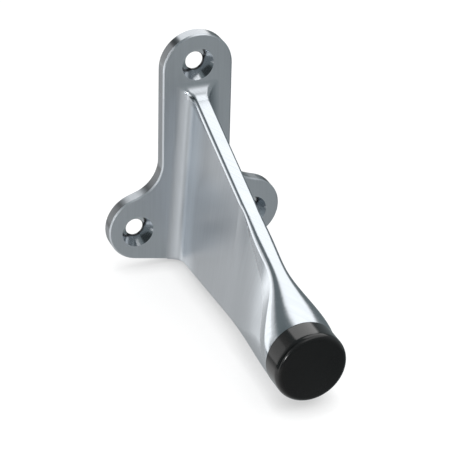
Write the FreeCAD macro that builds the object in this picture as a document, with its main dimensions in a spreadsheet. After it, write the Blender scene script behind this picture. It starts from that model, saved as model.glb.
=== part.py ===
import FreeCAD, Part
import math
import os
import Sketcher

# Wall door stop: one cast bracket that screws to a wall, with a rubber bumper on its end.
# The back of the plate lies in the XZ plane, the arm stands out along -Y, and +Z is up.
# The origin is where the axis of the bumper meets the wall.

DRIVING_SIZES = {
    # back plate with three lobes
    "plate_thickness": 4.3,
    "plate_edge_bevel": 0.5,
    "top_lobe_radius": 12.3,
    "top_lobe_height": 58.3,
    "side_lobe_radius": 11.9,
    "side_lobe_offset": 19.5,
    "side_lobe_height": 1.0,
    "neck_radius": 12.1,
    "shoulder_slope": 18.9,
    "chin_depth": 14.1,
    "chin_radius": 53.0,
    # countersunk screw holes
    "top_hole_height": 59.7,
    "side_hole_offset": 21.1,
    "screw_hole_diameter": 6.3,
    "countersink_diameter": 11.2,
    "countersink_angle": 70.0,
    # arm: a tall web, flared where it meets the plate, that swells into a round boss
    "arm_reach": 92.6,
    "web_crest_height": 52.8,
    "crest_hollow": 0.35,
    "crest_flat_width": 2.8,
    "crest_round": 1.4,
    "crest_softening": 1.9,
    "web_foot_width": 12.2,
    "web_foot_round": 1.3,
    "underside_arch": 1.55,
    "root_fillet": 4.7,
    "crest_fillet": 2.5,
    "crest_swell_start": 72.3,
    "foot_swell_start": 48.0,
    "boss_radius": 11.9,
    # spigot on the end of the boss that the bumper snaps over
    "spigot_neck_radius": 5.6,
    "spigot_neck_length": 2.6,
    "spigot_head_radius": 7.0,
    "spigot_head_length": 2.6,
    "spigot_lead_in": 0.8,
    # rubber bumper
    "bumper_radius": 12.0,
    "bumper_length": 9.0,
    "bumper_face_round": 2.0,
    "bumper_back_bevel": 0.3,
    "spigot_clearance": 0.1,
}

# Angles of the quarter circle that flares the root of the web, at which it has a section.
FLARE_ANGLES = tuple(range(90, -10, -10))
# Shares of the way from the straight web to the rim at which the swelling has a section.
SWELL_SHARES = (0, 0.2, 0.4, 0.6, 0.75, 0.9)

# Angles in degrees at which the rim's circle is divided, to meet the edges of the last section.
RIM_RIDGE, RIM_FLANK, RIM_TOE = 1.5, 2.0, 14.3

TOUCH = 1e-4
START, END, CENTRE = range(1, 4)
ORIGIN_POINT = (-1, 1)
VERTICAL_AXIS = -2

doc = FreeCAD.newDocument("wall_door_stop")
sheet = doc.addObject("Spreadsheet::Sheet", "sizes")
for row, (alias, number) in enumerate(DRIVING_SIZES.items(), start=1):
    sheet.set(f"A{row}", alias)
    sheet.set(f"B{row}", str(number))
    sheet.setAlias(f"B{row}", alias)
doc.recompute()


def value(formula):
    """Number that a formula on the sheet's sizes gives."""
    result = sheet.evalExpression(formula)
    return float(getattr(result, "Value", result))


def new_sketch(body, name, role, offset_formula="0"):
    """Sketch on a base plane of its body, moved along the plane's normal."""
    plane = next(f for f in body.Origin.OriginFeatures if f.Role == role)
    sketch = body.newObject("Sketcher::SketchObject", name)
    sketch.AttachmentSupport = [(plane, "")]
    sketch.MapMode = "FlatFace"
    sketch.setExpression("AttachmentOffset.Base.z", offset_formula)
    return sketch


def bind(sketch, name, formula, kind, *places):
    """Named dimension of a sketch that follows a formula on the sheet's sizes."""
    index = sketch.addConstraint(Sketcher.Constraint(kind, *places, value(formula)))
    sketch.renameConstraint(index, name)
    sketch.setExpression(f"Constraints.{name}", formula)


def line(sketch, start, end):
    return sketch.addGeometry(Part.LineSegment(FreeCAD.Vector(*start), FreeCAD.Vector(*end)))


def arc(sketch, centre, radius, start_angle, end_angle):
    """Anticlockwise arc, with its angles in degrees."""
    circle = Part.Circle(FreeCAD.Vector(*centre), FreeCAD.Vector(0, 0, 1), radius)
    first, last = math.radians(start_angle), math.radians(end_angle)
    return sketch.addGeometry(Part.ArcOfCircle(circle, first, last))


def on_circle(centre, radius, angle):
    """Point of a circle at an angle in degrees."""
    turn = math.radians(angle)
    return (centre[0] + radius * math.cos(turn), centre[1] + radius * math.sin(turn), 0)


def tangent_normal(near, near_radius, far, far_radius, side):
    """Direction in degrees in which a line touches two circles on the same side of both."""
    across, along = far[0] - near[0], far[1] - near[1]
    lean = math.degrees(math.acos((near_radius - far_radius) / math.hypot(across, along)))
    return math.degrees(math.atan2(along, across)) + side * lean


def join(sketch, first, first_end, second, second_end):
    """Two edges meet end to end and run smoothly on."""
    sketch.addConstraint(Sketcher.Constraint("Tangent", first, first_end, second, second_end))


# Back plate

bracket = doc.addObject("PartDesign::Body", "bracket")
bracket.Label = "bracket"


def plate_outline():
    """Three lobes: one above, two beside the arm, joined by hollow necks and a shallow chin."""
    sketch = new_sketch(bracket, "plate_outline", "XZ_Plane")
    top = (0, value("sizes.top_lobe_height"), 0)
    top_radius = value("sizes.top_lobe_radius")
    lobe_radius = value("sizes.side_lobe_radius")
    neck_radius = value("sizes.neck_radius")
    chin_radius = value("sizes.chin_radius")
    slope = value("sizes.shoulder_slope")
    chin = (0, chin_radius - value("sizes.chin_depth"), 0)
    lobe_x = value("sizes.side_lobe_offset")
    lobe_z = value("sizes.side_lobe_height")
    # height at which a neck that touches both the side and the shoulder has its centre
    lean = math.radians(slope)
    neck_x = top_radius + neck_radius
    neck_z = lobe_z + (lobe_radius + neck_radius - (neck_x - lobe_x) * math.sin(lean)) / math.cos(lean)
    chin_normal = tangent_normal((lobe_x, lobe_z), lobe_radius, chin[:2], chin_radius, 1)
    chin_turn = chin_normal - 270

    crown = arc(sketch, top, top_radius, 0, 180)
    base = arc(sketch, chin, chin_radius, 270 - chin_turn, 270 + chin_turn)
    for side in (-1, 1):
        lobe = (side * lobe_x, lobe_z, 0)
        neck = (side * neck_x, neck_z, 0)
        shoulder_angle = 90 - side * slope
        chin_angle = 270 + side * chin_turn
        wall = line(sketch, (side * top_radius, top[1]), (side * top_radius, neck_z))
        if side < 0:
            hollow = arc(sketch, neck, neck_radius, shoulder_angle - 180, 0)
            bulge = arc(sketch, lobe, lobe_radius, shoulder_angle, chin_angle)
        else:
            hollow = arc(sketch, neck, neck_radius, 180, shoulder_angle + 180)
            bulge = arc(sketch, lobe, lobe_radius, chin_angle - 360, shoulder_angle)
        shoulder = line(
            sketch,
            on_circle(neck, neck_radius, shoulder_angle + 180),
            on_circle(lobe, lobe_radius, shoulder_angle),
        )
        keel = line(
            sketch,
            on_circle(lobe, lobe_radius, chin_angle),
            on_circle(chin, chin_radius, chin_angle),
        )
        upper, lower = (END, START) if side < 0 else (START, END)
        join(sketch, crown, upper, wall, START)
        join(sketch, wall, END, hollow, upper)
        join(sketch, hollow, lower, shoulder, START)
        join(sketch, shoulder, END, bulge, lower)
        join(sketch, bulge, upper, keel, START)
        join(sketch, keel, END, base, lower)
        sketch.addConstraint(Sketcher.Constraint("Vertical", wall))
        tag = "left" if side < 0 else "right"
        bind(sketch, f"{tag}_neck", "sizes.neck_radius", "Radius", hollow)
        bind(sketch, f"{tag}_lobe", "sizes.side_lobe_radius", "Radius", bulge)
        reach = (bulge, CENTRE, *ORIGIN_POINT) if side < 0 else (*ORIGIN_POINT, bulge, CENTRE)
        bind(sketch, f"{tag}_lobe_offset", "sizes.side_lobe_offset", "DistanceX", *reach)
        height = (*ORIGIN_POINT, bulge, CENTRE)
        bind(sketch, f"{tag}_lobe_height", "sizes.side_lobe_height", "DistanceY", *height)
        lean_formula = f"{'180deg +' if side < 0 else '0deg -'} sizes.shoulder_slope * 1deg"
        index = sketch.addConstraint(
            Sketcher.Constraint("Angle", shoulder, math.radians(value(lean_formula)))
        )
        sketch.renameConstraint(index, f"{tag}_shoulder")
        sketch.setExpression(f"Constraints.{tag}_shoulder", lean_formula)
    sketch.addConstraint(Sketcher.Constraint("PointOnObject", base, CENTRE, VERTICAL_AXIS))
    bind(sketch, "top_lobe", "sizes.top_lobe_radius", "Radius", crown)
    bind(sketch, "top_lobe_height", "sizes.top_lobe_height", "DistanceY", *ORIGIN_POINT, crown, CENTRE)
    bind(sketch, "chin", "sizes.chin_radius", "Radius", base)
    chin_height = "sizes.chin_radius - sizes.chin_depth"
    bind(sketch, "chin_height", chin_height, "DistanceY", *ORIGIN_POINT, base, CENTRE)
    return sketch


def swell(share, start):
    """Smooth step from 0 where the swelling starts to 1 at the rim of the boss."""
    run = f"min(1; max(0; ({share} - sizes.{start}) / (sizes.arm_reach - sizes.{start})))"
    return f"({run})^2 * (3 - 2 * {run})"


def blend(at_web, grown):
    """From a size of the web to the radius of the boss."""
    return f"({at_web}) * (1 - {grown}) + sizes.boss_radius * {grown}"


def arm_section(name, station, side_flare="0", crest_flare="0"):
    """Rounded wedge of the arm: a flat crest, straight sides and a crowned foot."""
    sketch = new_sketch(bracket, name, "XZ_Plane", station)
    along = f"(({station}) - sizes.plate_thickness) / (sizes.arm_reach - sizes.plate_thickness)"
    crest_grown = swell(f"({station})", "crest_swell_start")
    foot_grown = swell(f"({station})", "foot_swell_start")
    share = f"({station}) / sizes.arm_reach"
    crest_height = (
        f"sizes.web_crest_height * (1 - {share}) + sizes.boss_radius * {share} + {crest_flare}"
        f" - 4 * sizes.crest_hollow * {share} * (1 - {share})"
    )
    crest_half = (
        f"sizes.crest_flat_width / 2 * (1 - {foot_grown})"
        f" + sizes.boss_radius * sin({RIM_RIDGE}) * {foot_grown} + {side_flare}"
    )
    crest_radius = (
        f"{blend('sizes.crest_round', crest_grown)}"
        f" + sizes.crest_softening * {foot_grown} * (1 - {crest_grown})"
    )
    foot_radius = blend("sizes.web_foot_round", foot_grown)
    foot_half = (
        f"(sizes.web_foot_width / 2 - sizes.web_foot_round) * (1 - {foot_grown}) + {side_flare}"
    )
    crown_radius = f"1 / ((1 - {foot_grown}) / sizes.chin_radius + {foot_grown} / sizes.boss_radius)"
    foot_depth = (
        f"sizes.chin_depth * (1 - {along}) + sizes.boss_radius * {along}"
        f" - 4 * sizes.underside_arch * {along} * (1 - {along})"
    )
    crown_height = f"{crown_radius} - ({foot_depth})"

    top, half, round_top = value(crest_height), value(crest_half), value(crest_radius)
    foot_x, round_foot = value(foot_half), value(foot_radius)
    crown_z, round_crown = value(crown_height), value(crown_radius)
    foot_z = crown_z - math.sqrt((round_crown - round_foot) ** 2 - foot_x ** 2)
    crest = (half, top - round_top, 0)
    foot = (foot_x, foot_z, 0)
    crown = (0, crown_z, 0)
    flank = tangent_normal(crest[:2], round_top, foot[:2], round_foot, 1)
    toe = math.degrees(math.asin(foot_x / (round_crown - round_foot)))

    def mirror(place):
        return (-place[0], place[1], 0)

    edges = [
        line(sketch, (half, top), (-half, top)),
        arc(sketch, mirror(crest), round_top, 90, 180 - flank),
        line(
            sketch,
            mirror(on_circle(crest, round_top, flank)),
            mirror(on_circle(foot, round_foot, flank)),
        ),
        arc(sketch, mirror(foot), round_foot, 180 - flank, 270 - toe),
        arc(sketch, crown, round_crown, 270 - toe, 270 + toe),
        arc(sketch, foot, round_foot, toe - 90, flank),
        line(sketch, on_circle(foot, round_foot, flank), on_circle(crest, round_top, flank)),
        arc(sketch, crest, round_top, flank, 90),
    ]
    for first, second in zip(edges, edges[1:] + edges[:1]):
        join(sketch, first, END, second, START)
    ridge, left_crest, _, left_foot, keel, right_foot, _, right_crest = edges
    sketch.addConstraint(Sketcher.Constraint("Horizontal", ridge))
    sketch.addConstraint(Sketcher.Constraint("Equal", left_crest, right_crest))
    sketch.addConstraint(Sketcher.Constraint("Equal", left_foot, right_foot))
    sketch.addConstraint(Sketcher.Constraint("PointOnObject", keel, CENTRE, VERTICAL_AXIS))
    bind(sketch, "crest_height", crest_height, "DistanceY", *ORIGIN_POINT, ridge, START)
    bind(sketch, "crest_left", crest_half, "DistanceX", left_crest, CENTRE, *ORIGIN_POINT)
    bind(sketch, "crest_right", crest_half, "DistanceX", *ORIGIN_POINT, right_crest, CENTRE)
    bind(sketch, "crest_round", crest_radius, "Radius", left_crest)
    bind(sketch, "foot_left", foot_half, "DistanceX", left_foot, CENTRE, *ORIGIN_POINT)
    bind(sketch, "foot_right", foot_half, "DistanceX", *ORIGIN_POINT, right_foot, CENTRE)
    bind(sketch, "foot_round", foot_radius, "Radius", left_foot)
    bind(sketch, "crown_round", crown_radius, "Radius", keel)
    bind(sketch, "crown_height", crown_height, "DistanceY", *ORIGIN_POINT, keel, CENTRE)
    return sketch


def boss_rim():
    """Circle at the end of the arm, in as many arcs as a section of the arm has edges."""
    sketch = new_sketch(bracket, "boss_rim", "XZ_Plane", "sizes.arm_reach")
    starts = (
        90 - RIM_RIDGE,
        90 + RIM_RIDGE,
        180 - RIM_FLANK,
        180 + RIM_FLANK,
        270 - RIM_TOE,
        270 + RIM_TOE,
        360 - RIM_FLANK,
        360 + RIM_FLANK,
    )
    ends = starts[1:] + (starts[0] + 360,)
    radius = value("sizes.boss_radius")
    arcs = [arc(sketch, (0, 0, 0), radius, first, last) for first, last in zip(starts, ends)]
    for first, second in zip(arcs, arcs[1:] + arcs[:1]):
        sketch.addConstraint(Sketcher.Constraint("Coincident", first, END, second, START))
    *centred, closing = arcs
    for edge in centred:
        sketch.addConstraint(Sketcher.Constraint("Coincident", edge, CENTRE, *ORIGIN_POINT))
    sketch.addConstraint(Sketcher.Constraint("Equal", centred[0], closing))
    bind(sketch, "radius", "sizes.boss_radius", "Radius", centred[0])
    for number, (edge, angle) in enumerate(zip(arcs, starts)):
        across, along = math.cos(math.radians(angle)), math.sin(math.radians(angle))
        kind, part = ("DistanceX", "cos") if abs(across) < abs(along) else ("DistanceY", "sin")
        formula = f"sizes.boss_radius * {part}({angle})"
        bind(sketch, f"joint_{number}", formula, kind, *ORIGIN_POINT, edge, START)
    return sketch


plate = bracket.newObject("PartDesign::Pad", "plate")
plate.Profile = plate_outline()
plate.setExpression("Length", "sizes.plate_thickness")
doc.recompute()
front = value("-sizes.plate_thickness")
front_edges = [
    f"Edge{number}"
    for number, edge in enumerate(plate.Shape.Edges, start=1)
    if abs(edge.BoundBox.YMin - front) < TOUCH and abs(edge.BoundBox.YMax - front) < TOUCH
]
bevel = bracket.newObject("PartDesign::Chamfer", "plate_front_bevel")
bevel.Base = (plate, front_edges)
bevel.setExpression("Size", "sizes.plate_edge_bevel")
doc.recompute()

# Arm: a root that flares from the plate, a straight web, and the swelling that ends in the boss


def loft(name, sections):
    """Smooth body through sections of the arm, from the wall outwards."""
    feature = bracket.newObject("PartDesign::AdditiveLoft", name)
    feature.Profile = sections[0]
    feature.Sections = sections[1:]
    doc.recompute()
    return feature


root_sections = []
for number, angle in enumerate(FLARE_ANGLES):
    depth = f"sizes.root_fillet * (1 - sin({angle}))"
    side_flare = f"sizes.root_fillet * (1 - cos({angle}))"
    crest_flare = f"sizes.crest_fillet * (1 - cos({angle}))"
    station = f"sizes.plate_thickness + {depth}"
    root_sections.append(arm_section(f"root_section_{number}", station, side_flare, crest_flare))
swell_sections = []
for number, share in enumerate(SWELL_SHARES):
    station = f"sizes.foot_swell_start + {share} * (sizes.arm_reach - sizes.foot_swell_start)"
    swell_sections.append(arm_section(f"swell_section_{number}", station))

# The block carries the web's root through the bevelled edge of the chin.
root_block = bracket.newObject("PartDesign::Pad", "root_block")
root_block.Profile = root_sections[0]
root_block.Reversed = True
root_block.setExpression("Length", "sizes.plate_thickness / 2")
doc.recompute()
loft("root", root_sections)
loft("web", (root_sections[-1], swell_sections[0]))
loft("swelling", (*swell_sections, boss_rim()))

# Spigot: a neck and a wider head, turned about the axis of the boss


def bulge(sketch, near, far, radius):
    """Arc from one point to the next that bulges to the right of its way."""
    across, along = far[0] - near[0], far[1] - near[1]
    span = math.hypot(across, along)
    reach = math.sqrt(radius ** 2 - (span / 2) ** 2) / span
    centre = (
        (near[0] + far[0]) / 2 - along * reach,
        (near[1] + far[1]) / 2 + across * reach,
        0,
    )
    first = math.degrees(math.atan2(near[1] - centre[1], near[0] - centre[0]))
    last = math.degrees(math.atan2(far[1] - centre[1], far[0] - centre[0]))
    return arc(sketch, centre, radius, first, last)


def turned_profile(body, name, corners):
    """Closed outline in the XY plane, anticlockwise. A corner is its distance across and along as
    formulas, and a third formula makes the edge that starts there an arc of that radius."""
    sketch = new_sketch(body, name, "XY_Plane")
    places = [(value(across), value(along), 0) for across, along, *_ in corners]
    edges = []
    for near, far, (_, _, *radius) in zip(places, places[1:] + places[:1], corners):
        if radius:
            edges.append(bulge(sketch, near, far, value(*radius)))
        else:
            edges.append(line(sketch, near, far))
    for near, far in zip(edges, edges[1:] + edges[:1]):
        sketch.addConstraint(Sketcher.Constraint("Coincident", near, END, far, START))
    for number, (edge, (across, along, *radius)) in enumerate(zip(edges, corners)):
        bind(sketch, f"across_{number}", across, "DistanceX", *ORIGIN_POINT, edge, START)
        bind(sketch, f"along_{number}", along, "DistanceY", *ORIGIN_POINT, edge, START)
        if radius:
            bind(sketch, f"round_{number}", *radius, "Radius", edge)
    return sketch


def turn(body, kind, name, sketch):
    """Full turn of a profile about the axis of the bumper."""
    feature = body.newObject(f"PartDesign::{kind}", name)
    feature.Profile = sketch
    feature.ReferenceAxis = (sketch, ["V_Axis"])
    feature.Angle = 360
    return feature


rim = "-sizes.arm_reach"
buried = "-sizes.arm_reach + sizes.spigot_neck_length"
neck_end = "-sizes.arm_reach - sizes.spigot_neck_length"
head_end = f"{neck_end} - sizes.spigot_head_length"
head_shoulder = f"{head_end} + sizes.spigot_lead_in"
spigot_profile = turned_profile(
    bracket,
    "spigot_profile",
    (
        ("0", buried),
        ("0", head_end),
        ("sizes.spigot_head_radius - sizes.spigot_lead_in", head_end),
        ("sizes.spigot_head_radius", head_shoulder),
        ("sizes.spigot_head_radius", neck_end),
        ("sizes.spigot_neck_radius", neck_end),
        ("sizes.spigot_neck_radius", buried),
    ),
)
turn(bracket, "Revolution", "spigot", spigot_profile)
doc.recompute()

# Screw holes, countersunk from the front of the plate

hole_centres = new_sketch(bracket, "hole_centres", "XZ_Plane", "sizes.plate_thickness")
places = (
    ("top", "0", "sizes.top_hole_height"),
    ("left", "-sizes.side_hole_offset", "0"),
    ("right", "sizes.side_hole_offset", "0"),
)
for tag, across, height in places:
    centre = FreeCAD.Vector(value(across), value(height), 0)
    radius = value("sizes.screw_hole_diameter / 2")
    circle = hole_centres.addGeometry(Part.Circle(centre, FreeCAD.Vector(0, 0, 1), radius))
    bind(hole_centres, f"{tag}_radius", "sizes.screw_hole_diameter / 2", "Radius", circle)
    bind(hole_centres, f"{tag}_across", across, "DistanceX", *ORIGIN_POINT, circle, CENTRE)
    bind(hole_centres, f"{tag}_height", height, "DistanceY", *ORIGIN_POINT, circle, CENTRE)
doc.recompute()
holes = bracket.newObject("PartDesign::Hole", "screw_holes")
holes.Profile = hole_centres
holes.DepthType = "ThroughAll"
holes.ThreadType = "None"
holes.setExpression("Diameter", "sizes.screw_hole_diameter")
holes.HoleCutType = "Countersink"
holes.HoleCutCustomValues = True
holes.setExpression("HoleCutDiameter", "sizes.countersink_diameter")
holes.setExpression("HoleCutCountersinkAngle", "sizes.countersink_angle * 1deg")
doc.recompute()

# Rubber bumper: a cap with a rounded front edge and a cavity that fits the spigot

rubber_bumper = doc.addObject("PartDesign::Body", "rubber_bumper")
rubber_bumper.Label = "rubber_bumper"
face = "-sizes.arm_reach - sizes.bumper_length"
cap_profile = turned_profile(
    rubber_bumper,
    "cap_profile",
    (
        ("0", rim),
        ("0", face),
        ("sizes.bumper_radius - sizes.bumper_face_round", face, "sizes.bumper_face_round"),
        ("sizes.bumper_radius", f"{face} + sizes.bumper_face_round"),
        ("sizes.bumper_radius", f"{rim} - sizes.bumper_back_bevel"),
        ("sizes.bumper_radius - sizes.bumper_back_bevel", rim),
    ),
)
turn(rubber_bumper, "Revolution", "cap", cap_profile)
doc.recompute()

snug_neck = "sizes.spigot_neck_radius + sizes.spigot_clearance"
snug_head = "sizes.spigot_head_radius + sizes.spigot_clearance"
lip_end = f"{neck_end} + sizes.spigot_clearance"
cavity_end = f"{head_end} - sizes.spigot_clearance"
cavity_profile = turned_profile(
    rubber_bumper,
    "cavity_profile",
    (
        ("0", rim),
        ("0", cavity_end),
        (f"{snug_head} - sizes.spigot_lead_in", cavity_end),
        (snug_head, f"{cavity_end} + sizes.spigot_lead_in"),
        (snug_head, lip_end),
        (snug_neck, lip_end),
        (snug_neck, rim),
    ),
)
turn(rubber_bumper, "Groove", "cavity", cavity_profile)
doc.recompute()

# Every object is sound before anything is written

for item in doc.Objects:
    if "Invalid" in item.State or "Error" in item.State:
        raise RuntimeError(f"{item.Name} failed: {item.State}")
os.makedirs("parts", exist_ok=True)
for body in (bracket, rubber_bumper):
    if body.Shape.isNull() or not body.Shape.isValid():
        raise RuntimeError(f"{body.Label} has no sound shape")
    body.Shape.exportStep(f"parts/{body.Label}.step")
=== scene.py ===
import math
import bpy
import numpy as np
from mathutils import Matrix, Vector


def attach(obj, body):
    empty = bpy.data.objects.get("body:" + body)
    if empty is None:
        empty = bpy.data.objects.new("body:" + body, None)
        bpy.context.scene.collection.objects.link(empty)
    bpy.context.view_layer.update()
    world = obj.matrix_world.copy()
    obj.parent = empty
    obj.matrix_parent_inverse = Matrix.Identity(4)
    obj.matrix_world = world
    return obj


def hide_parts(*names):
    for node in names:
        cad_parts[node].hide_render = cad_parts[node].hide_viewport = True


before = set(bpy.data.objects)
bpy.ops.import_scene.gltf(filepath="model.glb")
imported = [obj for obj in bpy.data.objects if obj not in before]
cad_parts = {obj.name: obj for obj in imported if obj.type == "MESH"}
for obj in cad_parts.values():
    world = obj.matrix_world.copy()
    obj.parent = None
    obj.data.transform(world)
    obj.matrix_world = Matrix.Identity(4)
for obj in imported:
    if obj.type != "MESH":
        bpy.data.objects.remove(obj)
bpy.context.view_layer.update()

# The photographer stands to the left of the stop and above it, and looks down the arm towards
# the wall. The frame is square, so the lens is given by its length on a sensor 36 mm wide.

CAMERA_PLACE = (-0.218719, -0.538660, 0.332679)
CAMERA_BACK = (-0.34215, -0.79515, 0.50066)
CAMERA_ROLL = math.radians(1.538)
LENS_MM = 154.25
SENSOR_MM = 36.0
NEAREST_SEEN = 0.01

back = Vector(CAMERA_BACK).normalized()
level = Vector((0, 0, 1)).cross(back).normalized()
upright = back.cross(level)
right = level * math.cos(CAMERA_ROLL) + upright * math.sin(CAMERA_ROLL)
up = upright * math.cos(CAMERA_ROLL) - level * math.sin(CAMERA_ROLL)
camera = bpy.data.objects.new("camera", bpy.data.cameras.new("camera"))
bpy.context.scene.collection.objects.link(camera)
turned_to_stop = Matrix((right, up, back)).transposed().to_4x4()
camera.matrix_world = Matrix.Translation(CAMERA_PLACE) @ turned_to_stop
camera.data.lens = LENS_MM
camera.data.sensor_width = SENSOR_MM
camera.data.clip_start = NEAREST_SEEN
bpy.context.scene.camera = camera


# The studio is a white table in a dim room, whose wall behind the camera is a little paler. Pale
# panels stand round the stop, for its metal and rubber to mirror. The camera itself sees only white.


class Wire:
    """A value in a node tree. Arithmetic on it adds Math nodes."""

    def __init__(self, tree, socket):
        self.tree = tree
        self.socket = socket

    def node(self, kind, settings=None, inputs=None, output=0):
        """New node of a kind, with its settings and the values or wires of its sockets."""
        made = self.tree.nodes.new(kind)
        for name, value in (settings or {}).items():
            setattr(made, name, value)
        for name, value in (inputs or {}).items():
            if isinstance(value, Wire):
                self.tree.links.new(value.socket, made.inputs[name])
            else:
                made.inputs[name].default_value = value
        return Wire(self.tree, made.outputs[output] if made.outputs else None)

    def math(self, operation, *values):
        return self.node("ShaderNodeMath", {"operation": operation}, dict(enumerate(values)))

    def __add__(self, other):
        return self.math("ADD", self, other)

    def __sub__(self, other):
        return self.math("SUBTRACT", self, other)

    def __mul__(self, other):
        return self.math("MULTIPLY", self, other)

    def __truediv__(self, other):
        return self.math("DIVIDE", self, other)

    def __rsub__(self, other):
        return self.math("SUBTRACT", other, self)

    __radd__ = __add__
    __rmul__ = __mul__

    def step(self, low, high):
        """Smooth rise from 0 at low to 1 at high."""
        return self.node(
            "ShaderNodeMapRange",
            {"interpolation_type": "SMOOTHSTEP"},
            {"Value": self, "From Min": low, "From Max": high},
        )

    def along(self, direction):
        """Dot product of a vector with a fixed direction."""
        made = self.tree.nodes.new("ShaderNodeVectorMath")
        made.operation = "DOT_PRODUCT"
        self.tree.links.new(self.socket, made.inputs[0])
        made.inputs[1].default_value = direction
        return Wire(self.tree, made.outputs["Value"])

    def parts(self):
        """The x, y and z of a vector."""
        split = self.tree.nodes.new("ShaderNodeSeparateXYZ")
        self.tree.links.new(self.socket, split.inputs[0])
        return [Wire(self.tree, out) for out in split.outputs]

    def blend(self, first, second):
        """Colour between two colours, by this value."""
        mixed = self.tree.nodes.new("ShaderNodeMix")
        mixed.data_type = "RGBA"
        self.tree.links.new(self.socket, mixed.inputs["Factor"])
        for socket, value in ((mixed.inputs[6], first), (mixed.inputs[7], second)):
            if isinstance(value, Wire):
                self.tree.links.new(value.socket, socket)
            else:
                socket.default_value = (*value, 1)
        return Wire(self.tree, mixed.outputs[2])


def fresh_tree(owner):
    """Empty node tree of a material or world, as a wire with no socket of its own."""
    owner.use_nodes = True
    owner.node_tree.nodes.clear()
    return Wire(owner.node_tree, None)


def heading(azimuth, elevation):
    """Unit vector for an azimuth, counted from the wall side towards the right, and an elevation."""
    turn, lift = math.radians(azimuth), math.radians(elevation)
    level_part = math.cos(lift)
    return Vector((math.sin(turn) * level_part, math.cos(turn) * level_part, math.sin(lift)))


PANEL_SIDE = (0.05, 0.1)


def panel(toward, azimuth, elevation, half_width, half_height, edge, turn):
    """Mask of a far rectangular panel: 1 where both slopes from its centre line stay within its half
    sizes, in degrees, with a soft edge of the given part of a size. It is 0 for every direction that
    points away from the panel."""
    centre = heading(azimuth, elevation)
    side = Vector((0, 0, 1)).cross(centre).normalized()
    rise = centre.cross(side)
    cosine, sine = math.cos(math.radians(turn)), math.sin(math.radians(turn))
    width_axis = side * cosine + rise * sine
    height_axis = rise * cosine - side * sine
    front = toward.along(centre)
    mask = front.step(*PANEL_SIDE)
    for axis, half in ((width_axis, half_width), (height_axis, half_height)):
        slope = toward.along(axis) / front
        size = math.tan(math.radians(half))
        mask = mask * (1 - slope.math("ABSOLUTE", slope).step(size * (1 - edge), size * (1 + edge)))
    return mask


world = bpy.data.worlds.new("studio")
bpy.context.scene.world = world
studio = fresh_tree(world)
toward = studio.node("ShaderNodeTexCoord", output=0)
high = toward.along((0, 0, 1))

WHITE, COOL = (1.0, 1.0, 1.0), (0.85, 1.0, 1.04)
COOL_TONES = (0.1, 0.7)
TABLE, TABLE_RISE, TABLE_PALER_TO = 0.55, 0.4, heading(-100, 0)
TABLE_EDGE = (-0.31, -0.27)
ROOM, PALER_WALL, WALL_EDGE, DIM_SIDE = 0.24, 0.16, (-0.4, -0.02), heading(-30, 0)
table_tone = TABLE + toward.along(TABLE_PALER_TO) * TABLE_RISE
room_tone = ROOM + PALER_WALL * (1 - toward.along(DIM_SIDE).step(*WALL_EDGE))
above = high.step(*TABLE_EDGE)
tone = table_tone * (1 - above) + room_tone * above

# Each panel has an azimuth, an elevation, half a width and half a height, all in degrees, the part
# of them that its edge fades over, a turn in degrees, and its strength.
PANELS = {
    "dark_screen": (-110, 30, 14, 35, 0.3, 0, 0.05),
    "left_glow": (-54, 26, 22, 14, 0.7, 0, 1.1),
    "left_sheet": (-36, 3, 30, 18.7, 0.08, 9, 1.9),
    "rear_sheet": (13, 27, 22, 22, 0.1, 0, 1.9),
    "top_sheet": (66, 60, 16, 30, 0.3, 0, 1.9),
    "right_strip": (135, 55, 32, 12, 0.4, 0, 1.4),
    "left_strip": (-123, 4, 6, 30, 0.3, -20, 1.5),
    "small_lamp": (-143, 6, 4.5, 4.5, 0.3, 0, 22.0),
}
for *shape_of_panel, panel_strength in PANELS.values():
    mask = panel(toward, *shape_of_panel)
    tone = tone * (1 - mask) + mask * panel_strength
is_camera = studio.node("ShaderNodeLightPath", output=0)
strength = tone * (1 - is_camera) + is_camera
cast = is_camera.blend(tone.step(*COOL_TONES).blend(COOL, WHITE), WHITE)
surround = studio.node("ShaderNodeBackground", inputs={"Color": cast, "Strength": strength})
studio.node("ShaderNodeOutputWorld", inputs={"Surface": surround})

FLOOR_HEIGHT, FLOOR_REACH = -0.0146, 3.0
CORNER_SIGNS = ((-1, -1), (1, -1), (1, 1), (-1, 1))
floor_mesh = bpy.data.meshes.new("floor")
corners = [(x * FLOOR_REACH, y * FLOOR_REACH, FLOOR_HEIGHT) for x, y in CORNER_SIGNS]
floor_mesh.from_pydata(corners, [], [(0, 1, 2, 3)])
floor = bpy.data.objects.new("floor", floor_mesh)
bpy.context.scene.collection.objects.link(floor)

# The paper is matt, so it shows the real shadow, and it glows a little for the camera. The glow is
# weaker within a few millimetres of the stop, which paints a contact shadow there. Mirrored rays pass
# through it, to the table's tone in the world.

PAPER = (0.28, 0.28, 0.28)
GLOW, GLOW_LOST_IN_PAINTED_SHADOW = 0.42, 0.4
PAINTED_SHADOW_REACH = 0.007
paper = bpy.data.materials.new("white_paper")
floor_mesh.materials.append(paper)
sheet = fresh_tree(paper)
matt = sheet.node("ShaderNodeBsdfDiffuse", inputs={"Color": (*PAPER, 1)})
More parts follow.
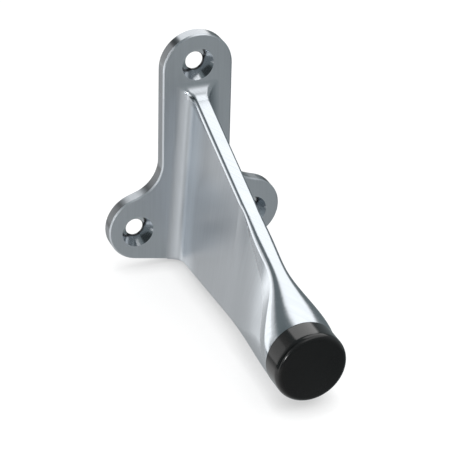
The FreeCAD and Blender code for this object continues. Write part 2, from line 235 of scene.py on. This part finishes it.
# Ambient occlusion dims the glow near the stop: a painted contact shadow.
painted_shadow_openness = sheet.node("ShaderNodeAmbientOcclusion", inputs={"Distance": PAINTED_SHADOW_REACH}, output=1)
glow_strength = GLOW + painted_shadow_openness * GLOW_LOST_IN_PAINTED_SHADOW
glow = sheet.node("ShaderNodeEmission", inputs={"Color": (*WHITE, 1), "Strength": glow_strength})
no_glow = sheet.node("ShaderNodeEmission", inputs={"Strength": 0.0})
seen = sheet.node("ShaderNodeLightPath", output=0)
mirrored = sheet.node("ShaderNodeLightPath", output=3)
glow_seen = sheet.node("ShaderNodeMixShader", inputs={0: seen, 1: no_glow, 2: glow})
solid = sheet.node("ShaderNodeAddShader", inputs={0: matt, 1: glow_seen})
clear = sheet.node("ShaderNodeBsdfTransparent")
paper_out = sheet.node("ShaderNodeMixShader", inputs={0: mirrored, 1: solid, 2: clear})
sheet.node("ShaderNodeOutputMaterial", inputs={"Surface": paper_out})

LIT_PLACE = Vector((0, -0.04, 0))
SOFTBOX_HEADING, SOFTBOX_REACH = heading(165, 62), 1.2
SOFTBOX_SIZE, SOFTBOX_WATTS = 0.8, 2.2
softbox = bpy.data.lights.new("overhead_softbox", "AREA")
softbox.shape = "SQUARE"
softbox.size = SOFTBOX_SIZE
softbox.energy = SOFTBOX_WATTS
overhead = bpy.data.objects.new("overhead_softbox", softbox)
bpy.context.scene.collection.objects.link(overhead)
overhead.location = LIT_PLACE + SOFTBOX_HEADING * SOFTBOX_REACH
overhead.rotation_euler = SOFTBOX_HEADING.to_track_quat("Z", "Y").to_euler()
overhead.visible_glossy = False
overhead.visible_camera = False

# The bracket is one zinc casting with satin chrome plating. The web, the front of the plate and its
# wall side are brushed, and the crest, the boss and the countersinks are brighter. Masks pick out
# these areas by place, in metres: each pair is where a mask starts and where it is full.

CHROME = (0.50, 0.53, 0.56)
PALEST = 1.7
STREAKS_ACROSS, STREAKS_ALONG, CLOUDS = 1500, 40, 70.0
chrome = bpy.data.materials.new("satin_chrome")
metal = fresh_tree(chrome)
place = metal.node("ShaderNodeTexCoord", output=3)
x, y, z = place.parts()
strokes = {"X": (x + y) * STREAKS_ACROSS, "Y": z * STREAKS_ALONG}
brushed = metal.node("ShaderNodeCombineXYZ", inputs=strokes)
streaks = metal.node("ShaderNodeTexNoise", inputs={"Vector": brushed, "Scale": 1.0, "Detail": 3.0})
cloud = metal.node("ShaderNodeTexNoise", inputs={"Vector": place, "Scale": CLOUDS, "Detail": 2.0})

CREST_HEIGHT, CREST_SLOPE = 0.0528, 0.4417
SWELL_SLOPE, SWELL_EDGE = 0.74, (0.066, 0.0668)
CREST_EDGE = (0.0018, 0.0024)
PLATE_FRONT, PLATE_BEVEL = (-0.0056, -0.005), (-0.00425, -0.0041)
WALL_SIDE = (-0.0002, -0.0001)
below_crest = CREST_HEIGHT + y * CREST_SLOPE - z
on_web = below_crest.step(*CREST_EDGE) * (1 - (z - y * SWELL_SLOPE).step(*SWELL_EDGE))
on_plate = y.step(*PLATE_FRONT) * (1 - y.step(*PLATE_BEVEL))
wall_face = y.step(*WALL_SIDE)
brushing = on_web.math("MAXIMUM", on_web, on_plate) + wall_face

# The web's flank mirrors the plate, close to its root and across the side lobes. Its colour is
# painted paler there, as a painted reflection of the plate.

ROOT_FILLET, ROOT_FADE, CREST_FADE = (-0.0078, -0.0062), (-0.021, -0.011), (0.002, 0.004)
LOBE_SLOPE, LOBE_LOW, LOBE_HIGH, LOBE_FADE = 0.6, (-0.019, -0.012), (0.008, 0.016), (-0.05, -0.015)
LOBE_REFLECTION_SHARE = 0.5
landing = z + y * LOBE_SLOPE
painted_lobe_reflection = landing.step(*LOBE_LOW) * (1 - landing.step(*LOBE_HIGH)) * y.step(*LOBE_FADE)
painted_lobe_reflection = painted_lobe_reflection * LOBE_REFLECTION_SHARE
# Masks of the painted reflection: near the root, and where the mirrored ray would land on the lobes.
painted_root_reflection = y.step(*ROOT_FADE)
painted_reflection = painted_root_reflection.math("MAXIMUM", painted_root_reflection, painted_lobe_reflection)
painted_reflection = painted_reflection * (1 - y.step(*ROOT_FILLET)) * below_crest.step(*CREST_FADE)

# The countersinks are polished, and their bores are painted dark, as painted shade in the recess. The
# span is the distance to the nearest hole's axis, across the plate.

HOLES = ((0.0, 0.0597), (-0.0211, 0.0), (0.0211, 0.0))
SINK_RIM, BORE_WALL, BORE_FRONT = (0.0055, 0.0058), (0.0033, 0.0036), (-0.0013, -0.0009)
nearest = None
for across, height in HOLES:
    aside, beyond = x - across, z - height
    squares = aside * aside + beyond * beyond
    nearest = squares if nearest is None else nearest.math("MINIMUM", nearest, squares)
span = nearest.math("SQRT", nearest)
polish = (1 - span.step(*SINK_RIM)) * (1 - wall_face)
# Mask of the painted shade inside the bores.
bore_painted_shade = y.step(*BORE_FRONT) * (1 - span.step(*BORE_WALL)) * (1 - wall_face)

# The plate's rim is painted darker than its front, as painted shade, and darker still where it leans
# upwards at a slant, as a painted dark reflection. The line of its bevel is painted paler, as a
# painted highlight.

RIM_START, BEVEL_START = (-0.0039, -0.0037), (-0.00428, -0.0042)
LEAN_START, LEAN_END = (0.08, 0.25), (0.78, 0.9)
# Painted shade on the rim, a painted dark reflection on its slanted shoulder, a painted highlight on
# the bevel.
rim_painted_shade = y.step(*RIM_START) * (1 - polish)
bevel_painted_highlight = y.step(*BEVEL_START) * (1 - y.step(*RIM_START)) * (1 - polish)
leaning = metal.node("ShaderNodeTexCoord", output=1).along((0, 0, 1))
shoulder_painted_reflection = leaning.step(*LEAN_START) * (1 - leaning.step(*LEAN_END))

REFLECTION_PAINTED_PALER, BEVEL_HIGHLIGHT_PAINTED_PALER = 0.55, 0.15
RIM_SHADE_PAINTED_DARKER, SHOULDER_REFLECTION_PAINTED_DARKER, BORE_SHADE_PAINTED_DARKER = 0.32, 0.5, 0.95
DARKEST_GRAIN, STREAK_SHARE, GRAIN_RANGE = 0.87, 0.7, 0.26
# The colour's factor: the painted reflection on the flank and the painted highlight on the bevel make
# it paler, and the painted shade on the rim, its shoulder and the bores makes it darker. The grain
# then varies it at random.
shade = 1 + painted_reflection * REFLECTION_PAINTED_PALER + bevel_painted_highlight * BEVEL_HIGHLIGHT_PAINTED_PALER - rim_painted_shade * RIM_SHADE_PAINTED_DARKER
shade = shade - rim_painted_shade * shoulder_painted_reflection * SHOULDER_REFLECTION_PAINTED_DARKER - bore_painted_shade * BORE_SHADE_PAINTED_DARKER
mottle = streaks * STREAK_SHARE + cloud * (1 - STREAK_SHARE)
shade = shade * (DARKEST_GRAIN + mottle * GRAIN_RANGE)
tint = (shade / PALEST).blend((0.0, 0.0, 0.0), [c * PALEST for c in CHROME])

BRIGHT, BRUSHED_ROUGHER, STREAK_SPREAD, POLISHED = 0.19, 0.13, 0.06, 0.14
STROKE_DEPTH, STROKE_STRENGTH = 0.0002, 0.05
gloss = BRIGHT + brushing * BRUSHED_ROUGHER + (streaks - 0.5) * brushing * STREAK_SPREAD
gloss = gloss * (1 - polish) + polish * POLISHED
bump = metal.node(
    "ShaderNodeBump",
    inputs={
        "Strength": STROKE_STRENGTH,
        "Distance": STROKE_DEPTH,
        "Height": streaks * brushing,
    },
)
skin = metal.node(
    "ShaderNodeBsdfPrincipled",
    inputs={"Base Color": tint, "Metallic": 1.0, "Roughness": gloss, "Normal": bump},
)
metal.node("ShaderNodeOutputMaterial", inputs={"Surface": skin})
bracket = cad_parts["bracket"]
for number in range(len(bracket.data.materials)):
    bracket.data.materials[number] = chrome

# The bumper is a cap of black rubber, pressed over a spigot on the end of the boss. Its face is dull
# and its side shines, except where the side turns towards the left sheet of the studio.

RUBBER = (0.008, 0.0085, 0.0085)
DEEP, PALE = 0.6, 1.4
GRAINS, BLOOMS = 1500.0, 90.0
FACE_EDGE_ZONE, TURNED_TO_SHEET = (-0.1014, -0.1004), (0.86, 0.95)
TOWARDS_SHEET = (-0.82, 0, 0.57)
SMOOTHEST, GRAIN_ROUGHNESS = 0.12, 0.06
SHINE, SHINE_ROUGHNESS, RUBBER_SPECULAR = 0.65, 0.1, 0.2
black_rubber = bpy.data.materials.new("black_rubber")
gum = fresh_tree(black_rubber)
moulded = gum.node("ShaderNodeTexCoord", output=3)
grain = gum.node("ShaderNodeTexNoise", inputs={"Vector": moulded, "Scale": GRAINS, "Detail": 2.0})
bloom = gum.node("ShaderNodeTexNoise", inputs={"Vector": moulded, "Scale": BLOOMS, "Detail": 2.0})
gum_colour = bloom.blend([c * DEEP for c in RUBBER], [c * PALE for c in RUBBER])
facing = gum.node("ShaderNodeTexCoord", output=1).along(TOWARDS_SHEET)
off_face = moulded.along((0, 1, 0)).step(*FACE_EDGE_ZONE)
shining_side = off_face * (1 - facing.step(*TURNED_TO_SHEET))
gum_skin = gum.node(
    "ShaderNodeBsdfPrincipled",
    inputs={
        "Base Color": gum_colour,
        "Roughness": SMOOTHEST + grain * GRAIN_ROUGHNESS,
        "Specular IOR Level": RUBBER_SPECULAR,
        "Coat Weight": shining_side * SHINE,
        "Coat Roughness": SHINE_ROUGHNESS,
    },
)
gum.node("ShaderNodeOutputMaterial", inputs={"Surface": gum_skin})

RIM_RADIUS, BACK_BEVEL, EDGE_ROUND = 0.012, 0.0003, 0.0022
REAR, FACE_EDGE, CROWN = -0.0926, -0.1014, 0.0006
MOUTH_RADIUS, HEAD_RADIUS, FLOOR_RADIUS = 0.0057, 0.0071, 0.0063
MOUTH_END, HEAD_END, SOCKET_FLOOR = -0.0951, -0.0971, -0.0979
SOCKET = (
    (MOUTH_RADIUS, REAR),
    (MOUTH_RADIUS, MOUTH_END),
    (HEAD_RADIUS, MOUTH_END),
    (HEAD_RADIUS, HEAD_END),
    (FLOOR_RADIUS, SOCKET_FLOOR),
)
AROUND, ACROSS_FACE, ROUND_EDGE, ALONG_SIDE = 160, 16, 14, 10
SHARP_ANGLE = math.radians(35)


def cap_surface():
    """Surface of revolution about the Y axis. Its profile runs from the centre of the crowned face,
    an arc whose rise falls with the square of the radius, round a quarter circle at the edge, along
    the straight side and over the small bevel at the back. There it turns in through the socket that
    grips the spigot, which is wider inside than at its mouth, and ends at the middle of its floor."""
    inner = RIM_RADIUS - EDGE_ROUND
    slope = 2 * CROWN / inner
    lean = math.atan(slope)
    out = np.linspace(0, 1, ACROSS_FACE) * (inner + EDGE_ROUND * math.sin(lean))
    face = np.stack([out, FACE_EDGE - CROWN * (1 - (out / inner) ** 2)], axis=1)
    turn = np.linspace(lean, math.pi / 2, ROUND_EDGE)[1:]
    centre = face[-1] - EDGE_ROUND * np.array([math.sin(lean), -math.cos(lean)])
    edge = centre + EDGE_ROUND * np.stack([np.sin(turn), -np.cos(turn)], axis=1)
    outside = edge[-1, 0]
    side_y = np.linspace(edge[-1, 1], REAR - BACK_BEVEL, ALONG_SIDE)[1:]
    side = np.stack([np.full(ALONG_SIDE - 1, outside), side_y], axis=1)
    rear = np.array([[outside - BACK_BEVEL, REAR], *SOCKET])
    profile = np.concatenate([face, edge, side, rear])[1:]
    angle = np.linspace(0, 2 * math.pi, AROUND, endpoint=False)
    ring = np.stack([np.cos(angle), np.zeros(AROUND), np.sin(angle)], axis=1)
    radii, places = profile[:, None, 0, None], profile[:, None, 1, None]
    points = (radii * ring[None] + np.array([0, 1, 0]) * places).reshape(-1, 3)
    points = np.concatenate([points, [[0, face[0, 1], 0], [0, rear[-1, 1], 0]]])
    row, column = np.meshgrid(np.arange(len(profile) - 1), np.arange(AROUND), indexing="ij")
    here, after = row * AROUND + column, row * AROUND + (column + 1) % AROUND
    quads = np.stack([here, after, after + AROUND, here + AROUND], axis=-1).reshape(-1, 4)
    first = np.arange(AROUND)
    last = first + (len(profile) - 1) * AROUND
    front_tip, socket_tip = np.full((2, AROUND), [[len(points) - 2], [len(points) - 1]])
    front_fan = np.stack([first, np.roll(first, -1), front_tip], axis=1)
    socket_fan = np.stack([np.roll(last, -1), last, socket_tip], axis=1)
    mesh = bpy.data.meshes.new("rubber_cap")
    faces = quads[:, ::-1].tolist() + front_fan.tolist() + socket_fan.tolist()
    mesh.from_pydata(points.tolist(), [], faces)
    mesh.shade_smooth()
    mesh.set_sharp_from_angle(angle=SHARP_ANGLE)
    return mesh


cap = bpy.data.objects.new("rubber_cap", cap_surface())
bpy.context.scene.collection.objects.link(cap)
cap.data.materials.append(black_rubber)
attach(cap, "root")
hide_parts("rubber_bumper")

bpy.context.scene.view_settings.view_transform = "Standard"
